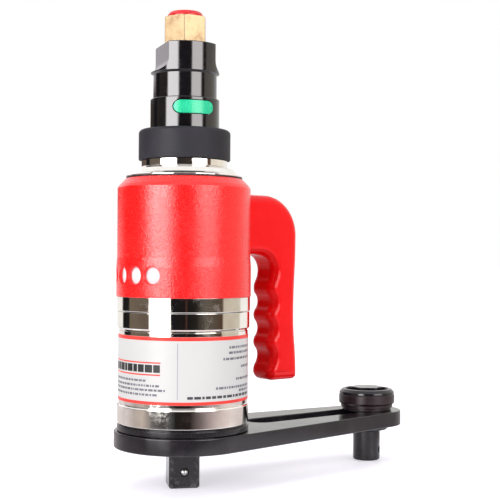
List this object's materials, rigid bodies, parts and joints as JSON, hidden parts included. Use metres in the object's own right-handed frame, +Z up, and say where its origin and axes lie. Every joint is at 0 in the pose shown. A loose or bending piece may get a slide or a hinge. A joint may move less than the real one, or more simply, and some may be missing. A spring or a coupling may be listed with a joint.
{
  "type": "pneumatic torque multiplier",
  "caption": "Air-driven geared nutrunner: planetary gearbox with square output, slotted reaction arm with sliding foot, red motor housing with finger grip, direction ring and start button.",
  "frame": {"origin": "centre of the square drive's tip face, on the tool's axis", "axes": "+Z up the tool's axis from the drive towards the air inlet, +X along the reaction arm towards its foot"},
  "size_m": [0.226, 0.086, 0.297],
  "materials": {
    "nickel_plate": "bright nickel plate",
    "red_paint": "textured red enamel",
    "red_grip": "satin moulded red",
    "black_oxide": "oil-blacked steel",
    "black_anodised": "gloss black anodise",
    "charcoal_rubber": "matt charcoal",
    "green_plastic": "glossy green",
    "brass": "machined",
    "red_plug": "soft red plastic",
    "ground_steel": "ground",
    "gear_steel": "case-hardened",
    "label_film": "printed film",
    "white_felt": "felt",
    "black_seal": "nitrile",
    "vane_laminate": "phenolic laminate",
    "cast_alloy": "machined alloy"
  },
  "bodies": {
    "gearbox": {"gearbox_casing": "nickel_plate", "reaction_spline_hub": "black_oxide", "hub_screws": "black_oxide", "output_seal": "black_seal", "output_outer_race": "ground_steel", "output_bearing_balls": "ground_steel", "annulus_gear": "gear_steel", "data_label": "label_film", "lock_ring": "nickel_plate", "reaction_arm": "black_oxide", "reaction_circlip": "black_oxide"},
    "output": {"output_spindle": "black_oxide", "output_carrier_plate": "gear_steel", "output_planet_pins": "ground_steel", "output_inner_race": "ground_steel", "detent_spring": "ground_steel"},
    "detent": {"detent_ball": "ground_steel"},
    "second_stage": {"second_carrier": "gear_steel", "second_planet_pins": "ground_steel"},
    "first_stage": {"first_carrier": "gear_steel", "first_planet_pins": "ground_steel"},
    "rotor": {"motor_rotor": "gear_steel", "rotor_vanes": "vane_laminate", "rotor_inner_races": "ground_steel"},
    "motor": {"motor_housing": "red_paint", "swivel_ring": "nickel_plate", "handle": "red_grip", "handle_bolts": "black_oxide", "lower_end_plate": "cast_alloy", "upper_end_plate": "cast_alloy", "motor_liner": "gear_steel", "exhaust_silencer": "white_felt", "rotor_outer_races": "ground_steel", "rotor_bearing_balls": "ground_steel", "cap_gasket": "black_seal", "motor_cap": "nickel_plate", "valve_body": "black_anodised", "inlet_bush": "brass", "inlet_screen": "brass", "button_spring": "ground_steel"},
    "ring": {"direction_ring": "charcoal_rubber", "ring_pin": "ground_steel", "reversing_sleeve": "brass"},
    "start": {"start_button": "green_plastic", "valve_stem": "ground_steel"},
    "plug": {"inlet_plug": "red_plug"},
    "foot": {"foot_post": "black_oxide", "foot_washer": "black_oxide"},
    "foot_nut": {"foot_knob": "black_oxide"},
    "output_planet_1": {"output_planet_1": "gear_steel"},
    "output_planet_2": {"output_planet_2": "gear_steel"},
    "output_planet_3": {"output_planet_3": "gear_steel"},
    "second_planet_1": {"second_planet_1": "gear_steel"},
    "second_planet_2": {"second_planet_2": "gear_steel"},
    "second_planet_3": {"second_planet_3": "gear_steel"},
    "first_planet_1": {"first_planet_1": "gear_steel"},
    "first_planet_2": {"first_planet_2": "gear_steel"},
    "first_planet_3": {"first_planet_3": "gear_steel"}
  },
  "joints": [
    {"name": "rotor_turn", "type": "hinge", "parent": "gearbox", "child": "rotor", "pos_m": [0, 0, 0.155], "axis": [0, 0, 1], "continuous": true},
    {"name": "first_stage_turn", "type": "hinge", "parent": "gearbox", "child": "first_stage", "pos_m": [0, 0, 0.1], "axis": [0, 0, 1], "continuous": true},
    {"name": "second_stage_turn", "type": "hinge", "parent": "gearbox", "child": "second_stage", "pos_m": [0, 0, 0.085], "axis": [0, 0, 1], "continuous": true},
    {"name": "output_turn", "type": "hinge", "parent": "gearbox", "child": "output", "pos_m": [0, 0, 0.06], "axis": [0, 0, 1], "continuous": true},
    {"name": "detent_press", "type": "slide", "parent": "output", "child": "detent", "axis": [-0.454, -0.891, 0], "range_m": [-0.0012, 0], "stiffness_N_per_m": 900, "springref_m": 0.0006, "deforming": ["detent_spring"]},
    {"name": "handle_swivel", "type": "hinge", "parent": "gearbox", "child": "motor", "pos_m": [0, 0, 0.11], "axis": [0, 0, 1], "continuous": true},
    {"name": "direction_turn", "type": "hinge", "parent": "motor", "child": "ring", "pos_m": [0, 0, 0.212], "axis": [0, 0, 1], "range_deg": [-35, 35]},
    {"name": "start_press", "type": "slide", "parent": "motor", "child": "start", "axis": [-0.309, -0.9511, 0], "range_m": [-0.0024, 0], "stiffness_N_per_m": 1500, "springref_m": 0.001, "deforming": ["button_spring"]},
    {"name": "plug_lift", "type": "slide", "parent": "motor", "child": "plug", "axis": [0, 0, 1], "range_m": [0, 0.06]},
    {"name": "foot_slide", "type": "slide", "parent": "gearbox", "child": "foot", "axis": [1, 0, 0], "range_m": [-0.088, 0]},
    {"name": "foot_nut_turn", "type": "hinge", "parent": "foot", "child": "foot_nut", "pos_m": [0.159, 0, 0.044], "axis": [0, 0, 1], "continuous": true},
    {"name": "output_planet_1_turn", "type": "hinge", "parent": "output", "child": "output_planet_1", "pos_m": [0.0198, 0, 0.071], "axis": [0, 0, 1], "continuous": true},
    {"name": "output_planet_2_turn", "type": "hinge", "parent": "output", "child": "output_planet_2", "pos_m": [-0.0099, 0.01715, 0.071], "axis": [0, 0, 1], "continuous": true},
    {"name": "output_planet_3_turn", "type": "hinge", "parent": "output", "child": "output_planet_3", "pos_m": [-0.0099, -0.01715, 0.071], "axis": [0, 0, 1], "continuous": true},
    {"name": "second_planet_1_turn", "type": "hinge", "parent": "second_stage", "child": "second_planet_1", "pos_m": [0.0198, 0, 0.0927], "axis": [0, 0, 1], "continuous": true},
    {"name": "second_planet_2_turn", "type": "hinge", "parent": "second_stage", "child": "second_planet_2", "pos_m": [-0.0099, 0.01715, 0.0927], "axis": [0, 0, 1], "continuous": true},
    {"name": "second_planet_3_turn", "type": "hinge", "parent": "second_stage", "child": "second_planet_3", "pos_m": [-0.0099, -0.01715, 0.0927], "axis": [0, 0, 1], "continuous": true},
    {"name": "first_planet_1_turn", "type": "hinge", "parent": "first_stage", "child": "first_planet_1", "pos_m": [0.0198, 0, 0.1065], "axis": [0, 0, 1], "continuous": true},
    {"name": "first_planet_2_turn", "type": "hinge", "parent": "first_stage", "child": "first_planet_2", "pos_m": [-0.0099, 0.01715, 0.1065], "axis": [0, 0, 1], "continuous": true},
    {"name": "first_planet_3_turn", "type": "hinge", "parent": "first_stage", "child": "first_planet_3", "pos_m": [-0.0099, -0.01715, 0.1065], "axis": [0, 0, 1], "continuous": true}
  ],
  "couplings": [
    {"joint": "first_stage_turn", "follows": "rotor_turn", "ratio": 0.20833},
    {"joint": "second_stage_turn", "follows": "rotor_turn", "ratio": 0.043403},
    {"joint": "output_turn", "follows": "rotor_turn", "ratio": 0.0090422},
    {"joint": "output_planet_1_turn", "follows": "rotor_turn", "ratio": -0.024543},
    {"joint": "output_planet_2_turn", "follows": "rotor_turn", "ratio": -0.024543},
    {"joint": "output_planet_3_turn", "follows": "rotor_turn", "ratio": -0.024543},
    {"joint": "second_planet_1_turn", "follows": "rotor_turn", "ratio": -0.11781},
    {"joint": "second_planet_2_turn", "follows": "rotor_turn", "ratio": -0.11781},
    {"joint": "second_planet_3_turn", "follows": "rotor_turn", "ratio": -0.11781},
    {"joint": "first_planet_1_turn", "follows": "rotor_turn", "ratio": -0.56548},
    {"joint": "first_planet_2_turn", "follows": "rotor_turn", "ratio": -0.56548},
    {"joint": "first_planet_3_turn", "follows": "rotor_turn", "ratio": -0.56548}
  ]
}
